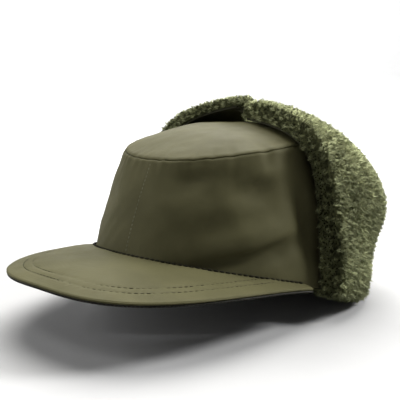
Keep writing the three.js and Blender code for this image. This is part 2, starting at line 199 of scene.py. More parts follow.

# Tufts of strands, grouped in locks: how far apart tufts and locks are, how far feet and heads scatter, a
# strand's length and width, how it leans with the pile and to its lock's middle, how round that middle
# looks, and how much lighter the middle is painted than the rim, as painted highlight on the lock's top and
# painted shade in the crevices between locks. Curls are the tight locks of the edges that face forward, and
# fuzz covers the rest.
# The curls have a much lower tone than the fuzz: painted shade on the pile's edges that face forward
CURLS = dict(
    spacing=1.65, foot=0.55, head=0.5, length=3.3, lean=0.2, width=0.36, strands=20, most=4200,
    lock=5.4, lock_lean=0.45, lock_round=1.3, lock_painted_light=1.0, tone=0.46, seed=71,
)
FUZZ = dict(
    spacing=1.85, foot=0.65, head=0.5, length=3.4, lean=0.4, width=0.30, strands=23, most=8000,
    lock=3.8, lock_lean=0.25, lock_round=0.6, lock_painted_light=0.5, tone=0.84, seed=81,
)

# What all tufts share: places tried for each tuft, a lock's radius as a share of its spacing and how deep
# its rim falls, how long strands are at its middle height and how much more at the top, and their spread
PLACES_TRIED = 7
LOCK_RADIUS = 0.6
LOCK_DEPTH = 1.3
STRAND_LENGTH = 0.75
STRAND_GROWTH = 0.4
STRAND_VARIES = (0.8, 1.1)
STRAND_UPRIGHT = 0.85
STRAND_ROUND = 0.3
FLOOR_CLEARANCE = 0.1

# Tones of the strands: their spread, how much darker a root is than a tip, as painted shade at the roots and
# painted highlight at the tips, and how much painted highlight the long fold gets between the edge that
# faces forward and the outer face
TONE_VARIES = 0.06
MIDDLE_HEIGHT = 0.5
ROOT_PAINTED_SHADE = 0.28
FACING_FORWARD = -0.35
FOLD_PAINTED_HIGHLIGHT = 0.34
FOLD_HIGHLIGHT_WIDTH = 0.16

# The way that the pile lies: mostly down and back, wandering in long waves, and a little unruly
PILE_LIE = dict(way=(0.0, 0.5, -1.0), wander=0.7, length=28.0, seeds=(91, 92, 93), unruly=0.45)

# Colours of the pile and the floor. The pile's darkest colour is painted shade, for its roots, its crevices
# and its body.
PILE_PAINTED_SHADE = (0.030, 0.032, 0.013)
PILE_MIDDLE = (0.210, 0.222, 0.110)
PILE_LIGHT = (0.400, 0.425, 0.242)
PILE_TONES = ((0.0, PILE_PAINTED_SHADE), (0.45, PILE_MIDDLE), (1.0, PILE_LIGHT))
PILE_PATCHES = dict(scale=45.0, dark=(0.72, 0.72, 0.70), light=(1.18, 1.18, 1.14))
FLOOR_PATCHES = dict(scale=3.0, dark=(0.27, 0.27, 0.27), light=(0.30, 0.30, 0.30))
CLOTH_PATCH_SCALE = 28.0
PATCH_EDGES = (0.35, 0.65)

# Bumps of the materials: their strength, and their depth in metres
WEAVE_BUMP = dict(strength=0.25, distance=0.00012)
SLACK_BUMP = dict(strength=0.3, distance=0.0008)
WOOL_BUMP = dict(strength=0.7, distance=0.0004)

# Cloths and threads: the two colours that each wanders between, its gloss, and its threads in a metre
CLOTHS = {
    "olive_cloth": dict(
        dark=(0.046, 0.0435, 0.0205), light=(0.058, 0.0545, 0.0265),
        roughness=0.55, sheen=0.2, threads=3000,
    ),
    # The flap's cloth and its tie tab: the olive cloth painted darker, as painted shade on the cloth inside
    # the folded flap
    "olive_cloth_painted_shade": dict(
        dark=(0.025, 0.025, 0.014), light=(0.033, 0.033, 0.020),
        roughness=0.55, sheen=0.2, threads=3000,
    ),
    "grey_knit": dict(
        dark=(0.026, 0.026, 0.023), light=(0.050, 0.050, 0.046),
        roughness=0.85, sheen=0.2, threads=900,
    ),
    "dark_thread": dict(
        dark=(0.006, 0.006, 0.003), light=(0.012, 0.011, 0.007),
        roughness=0.7, sheen=0.1, threads=4000,
    ),
    "light_thread": dict(
        dark=(0.120, 0.118, 0.080), light=(0.160, 0.156, 0.108),
        roughness=0.6, sheen=0.2, threads=4000,
    ),
    "row_thread": dict(
        dark=(0.016, 0.014, 0.008), light=(0.024, 0.021, 0.013),
        roughness=0.7, sheen=0.1, threads=4000,
    ),
}
WORN_SMOOTHER = 0.06
WORN_ROUGHER = 0.08

# A wave texture turns this far, in radians, over one unit of its scaled coordinate
WAVE_TEXTURE_PHASE = 20

# Floor, in metres: rings of its flat part, then a bend that rises into a wall all round
FLOOR = dict(rings=(0.0, 0.6, 1.2), flat=2.2, bend=1.2, wall=3.0, bend_steps=13, round_steps=97)

# Lights, in metres and watts, all of them discs
CAP_MIDDLE = (0.0, 0.0, 0.08)
WHITE = (1.0, 1.0, 1.0)
WARM = (1.0, 0.99, 0.97)
WORLD_STRENGTH = 0.05
LIGHTS = {
    "top_light": dict(place=(-0.45, 0.75, 1.60), target=CAP_MIDDLE, size=2.2, watts=138.0, colour=WARM),
    "front_light": dict(place=(-1.3, -1.1, 0.7), target=CAP_MIDDLE, size=1.0, watts=20.0, colour=WHITE),
    "near_light": dict(place=(0.05, -0.85, 1.45), target=CAP_MIDDLE, size=0.5, watts=4.5, colour=WHITE),
    "side_light": dict(place=(1.00, 1.05, 1.05), target=CAP_MIDDLE, size=0.5, watts=50.0, colour=WHITE),
    "wall_light": dict(place=(-0.9, 1.0, 1.7), target=(-1.9, 2.1, 1.0), size=1.4, watts=175.0, colour=WHITE),
}

# Camera, fitted to the photo: where it stands, where it looks, and its lens
EYE = (341.7, -398.3, 152.3)
BACKWARD = (0.6655, -0.7301, 0.1554)
RIGHTWARD = (0.7397, 0.6729, -0.0065)
UPWARD = (-0.0998, 0.1193, 0.9878)
FOCAL_PIXELS = 654.4
IMAGE_PIXELS = 400
SENSOR_MM = 36.0


def crown_shift():
    """How far the crown's own frame lies from the row's frame, in millimetres."""
    low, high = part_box("crown_side_left")
    root_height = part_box("peak_cover")[1].z
    return np.array([0.0, (low.y + high.y) / 2 / MM, root_height / MM - RIM_FRONT_HEIGHT])


SHIFT = crown_shift()


def placed(points):
    """Points of the crown's own frame in the row's frame, in metres."""
    return (np.asarray(points, float) + SHIFT) * MM


def unit(vectors):
    return vectors / np.maximum(np.linalg.norm(vectors, axis=-1, keepdims=True), 1e-9)


def blend(low, high, share):
    return low + (high - low) * share


def ripples(points, wavelength, seed):
    """Smooth noise of about -1 to 1: a sum of waves that run in random directions."""
    draw = np.random.default_rng(seed)
    total = np.zeros(points.shape[:-1])
    for _ in range(WAVES):
        direction = unit(draw.normal(size=points.shape[-1]))
        length = wavelength * draw.uniform(*WAVE_VARIES)
        total += np.sin(points @ direction * (2 * math.pi / length) + draw.uniform(0, 2 * math.pi))
    return total / math.sqrt(WAVES)


def waves_of(points, table, seed_shift=0):
    """The height of a table of waves at each point."""
    return sum(row["height"] * ripples(points, row["length"], row["seed"] + seed_shift) for row in table)


def new_object(name, mesh):
    obj = bpy.data.objects.new(name, mesh)
    bpy.context.scene.collection.objects.link(obj)
    return obj


def mesh_object(name, points, faces):
    """A smooth-shaded object from points in the row's frame, in metres."""
    mesh = bpy.data.meshes.new(name)
    mesh.from_pydata(points.tolist(), [], faces.tolist())
    mesh.polygons.foreach_set("use_smooth", np.ones(len(mesh.polygons), bool))
    return new_object(name, mesh)


def tidy_mesh(mesh, merge_distance):
    """Merges the points that fall together and turns every face outwards."""
    work = bmesh.new()
    work.from_mesh(mesh)
    bmesh.ops.remove_doubles(work, verts=work.verts, dist=merge_distance)
    bmesh.ops.recalc_face_normals(work, faces=work.faces)
    work.to_mesh(mesh)
    work.free()
    mesh.polygons.foreach_set("use_smooth", np.ones(len(mesh.polygons), bool))
    mesh.update()


def grid_quads(index):
    quads = np.stack([index[:-1, :-1], index[1:, :-1], index[1:, 1:], index[:-1, 1:]], axis=-1)
    return quads.reshape(-1, 4)


def edge_quads(outer, inner):
    return np.stack([outer[:-1], inner[:-1], inner[1:], outer[1:]], axis=-1)


def wall_object(name, face, back, loop=False):
    """A closed wall between two grids of points, columns by rows. With loop, the columns run once round."""
    columns, rows = face.shape[:2]
    index = np.arange(2 * columns * rows).reshape(2, columns, rows)
    if loop:
        index = np.concatenate([index, index[:, :1]], axis=1)
    outer, inner = index
    quads = [grid_quads(outer), grid_quads(inner)]
    quads += [edge_quads(outer[:, row], inner[:, row]) for row in (0, -1)]
    if not loop:
        quads += [edge_quads(outer[column], inner[column]) for column in (0, -1)]
    points = placed(np.concatenate([face.reshape(-1, 3), back.reshape(-1, 3)]))
    obj = mesh_object(name, points, np.concatenate(quads))
    tidy_mesh(obj.data, WALL_MERGE)
    return obj


def lifted(grid, relief, outward):
    """The grid moved along its own normals. outward is 1 or -1, the side that they point to."""
    normals = unit(np.cross(np.gradient(grid, axis=0), np.gradient(grid, axis=1)))
    return grid + normals * (outward * relief)[..., None]


def spaced(first, last, count, ends=0.4):
    """Values from first to last, closer together near both ends."""
    even = np.linspace(0, 1, count)
    eased = (1 - np.cos(math.pi * even)) / 2
    return blend(first, last, blend(even, eased, ends))


def peak_height(x, y):
    from_root = y + RIM_HALF_LENGTH
    return RIM_FRONT_HEIGHT - PEAK_CROSS_SAG * x**2 - PEAK_LENGTH_SAG * from_root**2


def rim_height(angle):
    """Height of the rim. Past the ear it settles smoothly to the level of the nape."""
    front = peak_height(RIM_HALF_WIDTH * np.sin(angle), -RIM_HALF_LENGTH * np.cos(angle))
    slope = 2 * PEAK_LENGTH_SAG * RIM_HALF_LENGTH**2
    settled = 1 - np.exp(-slope / RIM_NAPE_DROP * np.maximum(angle - RIGHT_ANGLE, 0))
    back = peak_height(RIM_HALF_WIDTH, 0.0) - RIM_NAPE_DROP * settled
    return np.where(angle <= RIGHT_ANGLE, front, back)


def rim_points(angle, out, z):
    x = (RIM_HALF_WIDTH + out) * np.sin(angle)
    y = -(RIM_HALF_LENGTH + out) * np.cos(angle)
    return np.stack([x, y, z + 0 * x], axis=-1)


def top_seam_points(angle, inset):
    x = (TOP_HALF_WIDTH - MITRE_IN * inset) * np.sin(angle)
    y = TOP_CENTRE_Y - (TOP_HALF_LENGTH - MITRE_IN * inset) * np.cos(angle)
    waves = TOP_FRONT_DROP * np.cos(angle) + TOP_SIDE_RISE * np.cos(2 * angle)
    return np.stack([x, y, TOP_HEIGHT - waves - MITRE_DOWN * inset], axis=-1)


def dent_height(side, angle, share):
    total = np.zeros_like(angle)
    for dent in DENTS[side]:
        from_middle = np.degrees(angle) - dent["angle"]
        across = from_middle / dent["angle_spread"]
        up = (share - dent["share"] - dent["slope"] * from_middle) / dent["share_spread"]
        total += dent["height"] * np.exp(-(across**2) - up**2)
    return total


def crown_wall(side, angle, share, inset):
    """The side wall between the rim, share 0, and the top seam, share 1, at an inset from its outer face."""
    foot = rim_points(angle, -inset, rim_height(angle) - RIM_HEM)
    points = blend(foot, top_seam_points(angle, inset), share[..., None])
    out = 4 * WALL_BULGE * share * (1 - share) + dent_height(side, angle, share)
    points[..., 0] += out * np.sin(angle)
    points[..., 1] -= out * np.cos(angle)
    return points * (side, 1, 1)


def seam_valley(distance, valley):
    """The dip of the cloth at a seam or a stitch row."""
    return -valley["depth"] * np.exp(-((distance / valley["width"]) ** 2))


def fold_height(side, angle, share):
    total = np.zeros_like(angle)
    for fold in FOLDS[side]:
        from_middle = np.degrees(angle) - fold["angle"]
        across = from_middle / fold["angle_spread"]
        up = (share - fold["share"] - fold["slope"] * from_middle) / fold["width"]
        total += fold["height"] * FOLD_GAIN * up * np.exp(-(across**2) - up**2)
    return total


def top_seam_puckers(angle, from_seam):
    """Creases that run away from the top seam, as moves up and out. Both panels move alike there."""
    outward = np.stack([np.sin(angle), -np.cos(angle)], axis=-1)
    height = waves_of(outward * TOP_HALF_WIDTH, PUCKER_WAVES) * np.exp(-from_seam / PUCKER_REACH)
    direction = np.concatenate([outward, np.ones_like(angle)[..., None]], axis=-1) / math.sqrt(2)
    return direction * height[..., None]


def away_from_seam(distance):
    """A share that rises from 0 at a seam to 1 in the open cloth."""
    return 1 - np.exp(-((distance / SEAM_CALM) ** 2))


def crown_side(side):
    """One side panel, with its seam valleys, folds and soft waves, and puckers along the top seam."""
    column_count, row_count = SIDE_GRID
    seam_angle = FRONT_SEAM_GAP / RIM_HALF_WIDTH
    open_cloth = spaced(2 * seam_angle, math.pi - 2 * seam_angle, column_count)
    columns = np.concatenate([[seam_angle], open_cloth, [math.pi - seam_angle]])
    rows = spaced(0, 1 - SEAM_GAP / TOP_HEIGHT, row_count)
    angle, share = np.meshgrid(columns, rows, indexing="ij")
    face = crown_wall(side, angle, share, 0.0)
    from_top = (1 - share) * WALL_HEIGHT
    from_middle = np.minimum(angle, math.pi - angle) * RIM_HALF_WIDTH
    relief = seam_valley(from_top, TOP_SEAM_VALLEY) + seam_valley(from_middle, FRONT_SEAM_VALLEY)
    slack = fold_height(side, angle, share) + waves_of(face, SIDE_WAVES, side)
    relief += slack * away_from_seam(from_top) * away_from_seam(from_middle)
    back = lifted(crown_wall(side, angle, share, WALL), relief, side)
    face = lifted(face, relief, side) + top_seam_puckers(side * angle, from_top)
    name = SIDE_NAMES[side]
    return wall_object(f"crown_cloth_{name}", face, back)


def crown_dome(angle, share, inset):
    centre = np.array([0.0, TOP_CENTRE_Y, TOP_HEIGHT - MITRE_DOWN * inset])
    points = blend(centre, top_seam_points(angle, inset), share[..., None])
    points[..., 2] += DOME_RISE * (1 - share**2)
    return points


def crown_top():
    """The oval top panel, which rolls down to the seam and puckers along it."""
    column_count, row_count = TOP_GRID
    columns = np.linspace(0, 2 * math.pi, column_count, endpoint=False)
    rows = 1 - spaced(SEAM_GAP / TOP_HALF_LENGTH, 1, row_count)[::-1]
    angle, share = np.meshgrid(columns, rows, indexing="ij")
    face = crown_dome(angle, share, 0.0)
    from_seam = (1 - share) * TOP_HALF_LENGTH
    relief = seam_valley(from_seam, TOP_SEAM_VALLEY)
    slack = waves_of(face, TOP_WAVES) * np.minimum(share / TOP_CALM_SHARE, 1)
    relief += slack * away_from_seam(from_seam)
    face = face + relief[..., None] * UP + top_seam_puckers(angle, from_seam)
    return wall_object("crown_top_cloth", face, crown_dome(angle, share, WALL), loop=True)


def peak_edge(direction):
    """The peak's free edge in plan. The direction runs from -90 degrees, at the right end, to 90."""
    sine, cosine = np.sin(direction), np.cos(direction)
    size = (np.abs(sine) ** PEAK_FULLNESS + np.abs(cosine) ** PEAK_FULLNESS) ** (1 / PEAK_FULLNESS)
    return np.stack([PEAK_HALF_WIDTH * sine / size, PEAK_ROOT_Y - PEAK_REACH * cosine / size], axis=-1)


def peak_plan(direction, share):
    root_angle = direction / RIGHT_ANGLE * math.radians(PEAK_ROOT_END)
    root = rim_points(root_angle, SEAM_GAP, 0.0)[..., :2]
    return blend(root, peak_edge(direction), share[..., None])


def distance_to_edge(plan):
    edge = peak_edge(np.linspace(-RIGHT_ANGLE, RIGHT_ANGLE, EDGE_STEPS))
    flat = plan.reshape(-1, 2)
    nearest = [np.hypot(*(edge - point).T).min() for point in flat]
    return np.array(nearest).reshape(plan.shape[:-1])


def edge_roundness(distance):
    """The share of its thickness that a layer has near its free edge."""
    away = 1 - np.clip(distance / PEAK_EDGE_RADIUS, 0, 1)
    return np.maximum(np.sqrt(1 - away**2), PEAK_EDGE_LEAST)


def peak_layer(name, top, bottom, set_back, grid, relief_of):
    """One layer of the peak between two depths under its upper face, rounded off at the free edge."""
    columns, rows = grid
    direction, share = np.meshgrid(
        np.linspace(-RIGHT_ANGLE, RIGHT_ANGLE, columns),
        1 - (1 - np.linspace(0, 1, rows)) ** PEAK_ROWS_CLOSER,
        indexing="ij",
    )
    plan = peak_plan(direction, share * (1 - set_back))
    distance = distance_to_edge(plan)
    middle = (top + bottom) / 2
    half = (bottom - top) / 2 * edge_roundness(distance - distance[:, -1:].min())
    relief = relief_of(plan, distance)
    height = peak_height(plan[..., 0], plan[..., 1])
    face = np.concatenate([plan, (height - middle + half + relief)[..., None]], axis=-1)
    back = np.concatenate([plan, (height - middle - half)[..., None]], axis=-1)
    return wall_object(name, face, back)


def cover_relief(plan, distance):
    """Each stitch row draws the cloth down in a narrow channel, and the cloth waves a little between."""
    relief = waves_of(plan, COVER_WAVES)
    for row in STITCH_ROWS:
        relief = relief + seam_valley(distance - row, STITCH_CHANNEL)
        near_row = np.exp(-(((distance - row) / STITCH_PUCKER_REACH) ** 2))
        relief = relief + waves_of(plan, STITCH_WAVES) * near_row
    return relief * np.clip(distance / EDGE_CALM, 0, 1)


def underside_relief(plan, distance):
    """The knit lies flat but for slight waves along its edge."""
    return waves_of(plan, UNDERSIDE_WAVES) * np.exp(-distance / EDGE_CALM)


def thread_object(name, centres, radii):
    """Many threads as tubes. Their pinched end rings need no caps. centres is threads by rings by 3."""
    count, rings = radii.shape
    tangent = unit(np.gradient(centres, axis=1))
    across = unit(np.cross(tangent, UP))
    other = np.cross(tangent, across)
    turn = np.linspace(0, 2 * math.pi, THREAD_SIDES, endpoint=False)
    spokes = across[:, :, None] * np.cos(turn)[:, None] + other[:, :, None] * np.sin(turn)[:, None]
    points = centres[:, :, None] + spokes * radii[:, :, None, None]
    index = np.arange(count * rings * THREAD_SIDES).reshape(count, rings, THREAD_SIDES)
    ahead = np.roll(index, -1, axis=2)
    quads = np.stack([index[:, :-1], ahead[:, :-1], ahead[:, 1:], index[:, 1:]], axis=-1)
    return mesh_object(name, placed(points.reshape(-1, 3)), quads.reshape(-1, 4))


def along_path(path, distances):
    steps = np.linalg.norm(np.diff(path, axis=0), axis=1)
    run = np.concatenate([[0], np.cumsum(steps)])
    return np.stack([np.interp(distances, run, path[:, axis]) for axis in range(3)], axis=-1)


def stitch_row(name, paths, stitch):
    """A row of short threads along each path, each one dipping into the cloth at both ends."""
    centres = []
    for path in paths:
        length = np.linalg.norm(np.diff(path, axis=0), axis=1).sum()
        middles = np.arange(stitch["length"], length - stitch["length"], stitch["length"] + stitch["gap"])
        centres.append(along_path(path, middles[:, None] + np.array(THREAD_ALONG) * stitch["length"]))
    centres = np.concatenate(centres)
    centres[:, (0, -1), 2] -= stitch["radius"]
    radii = stitch["radius"] * np.array(THREAD_ROUND) * np.ones((len(centres), 1))
    return thread_object(name, centres, radii)


def peak_row_path(inset):
    """A line on the peak's upper face at an even distance from its free edge, outside the crown."""
    edge = peak_edge(np.linspace(-RIGHT_ANGLE, RIGHT_ANGLE, PATH_STEPS["peak_row"]))
    ahead = np.gradient(edge, axis=0)
    inward = unit(np.stack([-ahead[:, 1], ahead[:, 0]], axis=-1))
    line = edge + inward * inset
    across = line[:, 0] / (RIM_HALF_WIDTH + ROW_CLEARANCE)
    along = line[:, 1] / (RIM_HALF_LENGTH + ROW_CLEARANCE)
    line = line[np.hypot(across, along) > 1]
    height = peak_height(line[:, 0], line[:, 1]) - ROW_DEPTH
    return np.concatenate([line, height[:, None]], axis=-1)


def root_path():
    """The line where the crown meets the peak."""
    angle = np.radians(np.linspace(-PEAK_ROOT_END, PEAK_ROOT_END, PATH_STEPS["root_row"]))
    points = rim_points(angle, ROOT_ROW_OUT, 0.0)
    points[:, 2] = peak_height(points[:, 0], points[:, 1]) + ROOT_ROW_LIFT
    return points


def front_seam_path():
    """A line up the centre front, on the left panel beside the seam and just above its cloth."""
    share = np.linspace(*SEAM_ROW_ENDS, PATH_STEPS["seam_row"])
    angle = np.full_like(share, SEAM_ROW / RIM_HALF_WIDTH)
    points = crown_wall(LEFT, angle, share, 0.0)
    points[:, 1] -= seam_valley(SEAM_ROW, FRONT_SEAM_VALLEY) + SEAM_ROW_LIFT
    return points


def underside_edge_path():
    """The line half way down the free edge of the underside."""
    direction = np.linspace(-RIGHT_ANGLE, RIGHT_ANGLE, PATH_STEPS["underside"])
    plan = peak_plan(direction, np.full_like(direction, 1 - UNDERSIDE_SET_BACK))
    depth = COVER_THICKNESS + SEAM_GAP + UNDERSIDE_THICKNESS / 2
    height = peak_height(plan[:, 0], plan[:, 1]) - depth
    return np.concatenate([plan, height[:, None]], axis=-1)


def subdivided_copy(node, name, levels, crease):
    """A CAD node's shape as a fine smooth mesh. crease, 0 to 1, says how far sharp edges stay."""
    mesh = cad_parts[node].data.copy()
    work = bmesh.new()
    work.from_mesh(mesh)
    bmesh.ops.remove_doubles(work, verts=work.verts, dist=NODE_MERGE)
    bmesh.ops.join_triangles(
        work, faces=work.faces, angle_face_threshold=math.pi, angle_shape_threshold=math.pi
    )
    creases = work.edges.layers.float.new("crease_edge")
    for edge in work.edges:
        if edge.calc_face_angle(0) > SHARP_ANGLE:
            edge[creases] = crease
    work.to_mesh(mesh)
    work.free()
    rough = new_object(name, mesh)
    modifier = rough.modifiers.new("fine", "SUBSURF")
    modifier.levels = modifier.render_levels = levels
    depsgraph = bpy.context.evaluated_depsgraph_get()
    fine = bpy.data.meshes.new_from_object(rough.evaluated_get(depsgraph))
    rough.modifiers.clear()
    rough.data = fine
    fine.materials.clear()
    fine.name = name
    fine.polygons.foreach_set("use_smooth", np.ones(len(fine.polygons), bool))
    return rough


def mesh_points(mesh):
    points = np.zeros(len(mesh.vertices) * 3)
    mesh.vertices.foreach_get("co", points)
    return points.reshape(-1, 3)


def mesh_normals(mesh):
    normals = np.zeros(len(mesh.vertices) * 3)
    mesh.vertex_normals.foreach_get("vector", normals)
    return normals.reshape(-1, 3)


def set_points(mesh, points):
    mesh.vertices.foreach_set("co", points.ravel())
    mesh.update()


def surface_tree(*nodes):
    """A tree of the CAD nodes' surfaces, for distances to them."""
    points, faces = [], []
    for node in nodes:
        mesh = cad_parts[node].data
        start = len(points)
        points += [vertex.co.copy() for vertex in mesh.vertices]
        faces += [[start + corner for corner in face.vertices] for face in mesh.polygons]
    return BVHTree.FromPolygons(points, faces)


def distance_to(tree, points):
    return np.array([tree.find_nearest(Vector(point))[3] for point in points]) / MM


def flap_shell(side):
    """The flap's smooth cloth face."""
    name = SIDE_NAMES[side]
    return subdivided_copy(f"flap_shell_{name}", f"flap_cloth_{name}", levels=2, crease=1.0)


def pile_body(side, cloth_tree):
    """The body of the pile. It draws back under its curls, but not beside cloth or at the cap's middle."""
    name = SIDE_NAMES[side]
    body = subdivided_copy(f"flap_pile_{name}", f"pile_body_{name}", levels=3, crease=0.5)
    points = mesh_points(body.data)
    free = np.clip((distance_to(cloth_tree, points) - TOUCHING) / PILE_RAMP, 0, 1)
    inset = PILE_INSET - waves_of(points / MM, PILE_WAVES)
    move = mesh_normals(body.data) * (free * inset)[:, None] * MM
    move[:, 0] *= np.clip(np.abs(points[:, 0]) / MM / MIDDLE_RAMP, 0, 1)
    set_points(body.data, points - move)
    return body


def free_triangles(body, cloth_tree):
    """The corner points and corner normals of the pile's triangles that don't lie against cloth."""
    mesh = body.data
    mesh.calc_loop_triangles()
    corners = np.zeros(len(mesh.loop_triangles) * 3, int)
    mesh.loop_triangles.foreach_get("vertices", corners)
    corners = corners.reshape(-1, 3)
    points = mesh_points(mesh)
    normals = mesh_normals(mesh)
    middles = points[corners].mean(axis=1)
    free = distance_to(cloth_tree, middles) > TOUCHING
    return points[corners[free]], normals[corners[free]]


def parted_triangles(triangles):
    """The pile's triangles in two groups: those of the edges that face forward, and the others."""
    points, normals = triangles
    wander = waves_of(points.mean(axis=1) / MM, BORDER_WAVES)
    forward = normals.mean(axis=1)[:, 1] + wander < FACING_FORWARD
    return (points[forward], normals[forward]), (points[~forward], normals[~forward])


def scattered(corner_points, corner_normals, count, draw):
    """Random places on the triangles, evenly by area, with the normal at each."""
    a, b, c = np.moveaxis(corner_points, 1, 0)
    areas = np.linalg.norm(np.cross(b - a, c - a), axis=1)
    chosen = draw.choice(len(areas), count, p=areas / areas.sum())
    u, v = draw.random((2, count))
    over = u + v > 1
    u, v = np.where(over, 1 - u, u), np.where(over, 1 - v, v)
    weights = np.stack([1 - u - v, u, v], axis=-1)[..., None]
    return (corner_points[chosen] * weights).sum(1), unit((corner_normals[chosen] * weights).sum(1))


def kept_apart(points, spacing):
    """Which of the points stay when each keeps at least a spacing from those before it."""
    cells = {}
    kept = []
    for number, point in enumerate(points):
        cell = tuple(np.floor(point / spacing).astype(int))
        near = [
            cells.get((cell[0] + i, cell[1] + j, cell[2] + k), ())
            for i in (-1, 0, 1)
            for j in (-1, 0, 1)
            for k in (-1, 0, 1)
        ]
        if all(((points[other] - point) ** 2).sum() > spacing**2 for group in near for other in group):
            cells.setdefault(cell, []).append(number)
            kept.append(number)
    return np.array(kept)


def shade_attribute(obj, values):
    """A value for each point that the pile's colour follows: from 0, deep and dark as painted shade, to 1,
    light tips.
    """
    layer = obj.data.attributes.new("shade", "FLOAT", "POINT")
    layer.data.foreach_set("value", values.astype(np.float32))


def pile_flow(places, normals, draw):
    """The way that the pile lies at each place, along the surface."""
    wander = np.stack([ripples(places, PILE_LIE["length"], seed) for seed in PILE_LIE["seeds"]], axis=-1)
    unruly = draw.normal(size=normals.shape)
    flow = np.array(PILE_LIE["way"]) + PILE_LIE["wander"] * wander + PILE_LIE["unruly"] * unruly
    along = flow - normals * (flow * normals).sum(axis=-1, keepdims=True)
    return unit(along)


def fold_highlight_closeness(normals):
    """How near the pile is to the long fold that gets a painted highlight, from 0 to 1."""
    return np.exp(-(((normals[:, 1] - FACING_FORWARD) / FOLD_HIGHLIGHT_WIDTH) ** 2))


def nearest_offsets(places, middles):
    """How far each place lies from the nearest of the middles, as a vector."""
    tree = KDTree(len(middles))
    for number, middle in enumerate(middles):
        tree.insert(middle, number)
    tree.balance()
    return np.array([place - middles[tree.find(place)[1]] for place in places])


def pile_tufts(name, triangles, tuft, side):
    """Tufts of fine strands. Each strand rises from around its tuft's foot and leans over."""
    draw = np.random.default_rng(tuft["seed"] + side)
    places, normals = scattered(*triangles, tuft["most"] * PLACES_TRIED, draw)
    kept = kept_apart(places, tuft["spacing"] * MM)[: tuft["most"]]
    places, normals = places[kept] / MM, normals[kept]
    middles = places[kept_apart(places, tuft["lock"])]
    offset = nearest_offsets(places, middles) / (tuft["lock"] * LOCK_RADIUS)
    height = 1 - np.minimum((offset**2).sum(axis=1), LOCK_DEPTH)
    flow = pile_flow(places, normals, draw)
    count, strands = len(places), tuft["strands"]
    many = (count, strands, 3)
    growth = STRAND_LENGTH + STRAND_GROWTH * height[:, None, None]
    rise = tuft["length"] * growth * draw.uniform(*STRAND_VARIES, (count, strands, 1))
    foot = places[:, None] + tuft["foot"] * draw.normal(size=many)
    lean = flow * tuft["lean"] - offset * tuft["lock_lean"]
    way = (STRAND_UPRIGHT * normals + lean)[:, None]
    tip = places[:, None] + way * rise + tuft["head"] * draw.normal(size=many)
    across = unit(np.cross(tip - foot, draw.normal(size=many))) * tuft["width"] / 2
    points = np.stack([foot - across, foot + across, tip], axis=2)
    points[..., 2] = np.maximum(points[..., 2], FLOOR_CLEARANCE)
    faces = np.arange(3 * count * strands).reshape(-1, 3)
    obj = mesh_object(name, points.reshape(-1, 3) * MM, faces)
    soft = unit((normals + tuft["lock_round"] * offset)[:, None] + STRAND_ROUND * unit(tip - foot))
    obj.data.normals_split_custom_set_from_vertices(np.repeat(soft.reshape(-1, 3), 3, axis=0).tolist())
    # Painted light: strands are lighter towards their lock's middle as painted highlight, and darker at its
    # rim as painted shade in the crevices
    tone = tuft["tone"] + tuft["lock_painted_light"] * (height - MIDDLE_HEIGHT)
    # Painted highlight: the pile along the long fold is made lighter
    tone = tone + FOLD_PAINTED_HIGHLIGHT * fold_highlight_closeness(normals)
    tone = tone[:, None, None] + draw.uniform(-TONE_VARIES, TONE_VARIES, (count, strands, 1))
    # Painted shade at the roots and painted highlight at the tips: roots are made darker and tips lighter
    tone = tone + np.array([-ROOT_PAINTED_SHADE, -ROOT_PAINTED_SHADE, ROOT_PAINTED_SHADE]) / 2
    shade_attribute(obj, np.clip(tone, 0, 1).ravel())
    return obj


def new_material(name):
    """A material, its node maker and its link maker."""
    material = bpy.data.materials.new(name)
    material.use_nodes = True
    tree = material.node_tree

    def node(kind, **settings):
        made = tree.nodes.new(kind)
        for key, value in settings.items():
            if key in made.inputs:
                made.inputs[key].default_value = value
            else:
                setattr(made, key, value)
        return made

    return material, node, tree.links.new


def principled(material):
    return material.node_tree.nodes["Principled BSDF"]


def set_inputs(shader, values):
    for name, value in values.items():
        shader.inputs[name].default_value = value


def noise_at(node, link, coordinates, **settings):
    noise = node("ShaderNodeTexNoise", **settings)
    link(coordinates, noise.inputs["Vector"])
    return noise.outputs["Fac"]


def bump_of(node, link, height, strength, distance):
    bump = node("ShaderNodeBump", Strength=strength, Distance=distance)
    link(height, bump.inputs["Height"])
    return bump


def ramp_of(node, link, value, stops):
    """A colour that follows a value through the stops, each a position and a colour."""
    ramp = node("ShaderNodeValToRGB")
    elements = ramp.color_ramp.elements
    while len(elements) < len(stops):
        elements.new(0.5)
    for element, (position, colour) in zip(elements, stops):
        element.position = position
        element.color = (*colour, 1)
    link(value, ramp.inputs["Fac"])
    return ramp.outputs["Color"]


def noise_colour(node, link, coordinates, scale, dark, light):
    """A colour that wanders between a dark and a light one."""
    value = noise_at(node, link, coordinates, Scale=scale, Detail=5.0, Roughness=0.6)
    return ramp_of(node, link, value, tuple(zip(PATCH_EDGES, (dark, light))))


def weave_height(node, link, coordinates, threads_per_metre):
    """Height of a plain weave: two sets of threads at right angles, with slubs."""
    both = node("ShaderNodeMath", operation="ADD")
    scale = threads_per_metre * 2 * math.pi / WAVE_TEXTURE_PHASE
    for axis, height in zip(("X", "Z"), both.inputs):
        wave = node("ShaderNodeTexWave", bands_direction=axis, Scale=scale, Distortion=1.5)
        link(coordinates, wave.inputs["Vector"])
        link(wave.outputs["Fac"], height)
    return both.outputs[0]


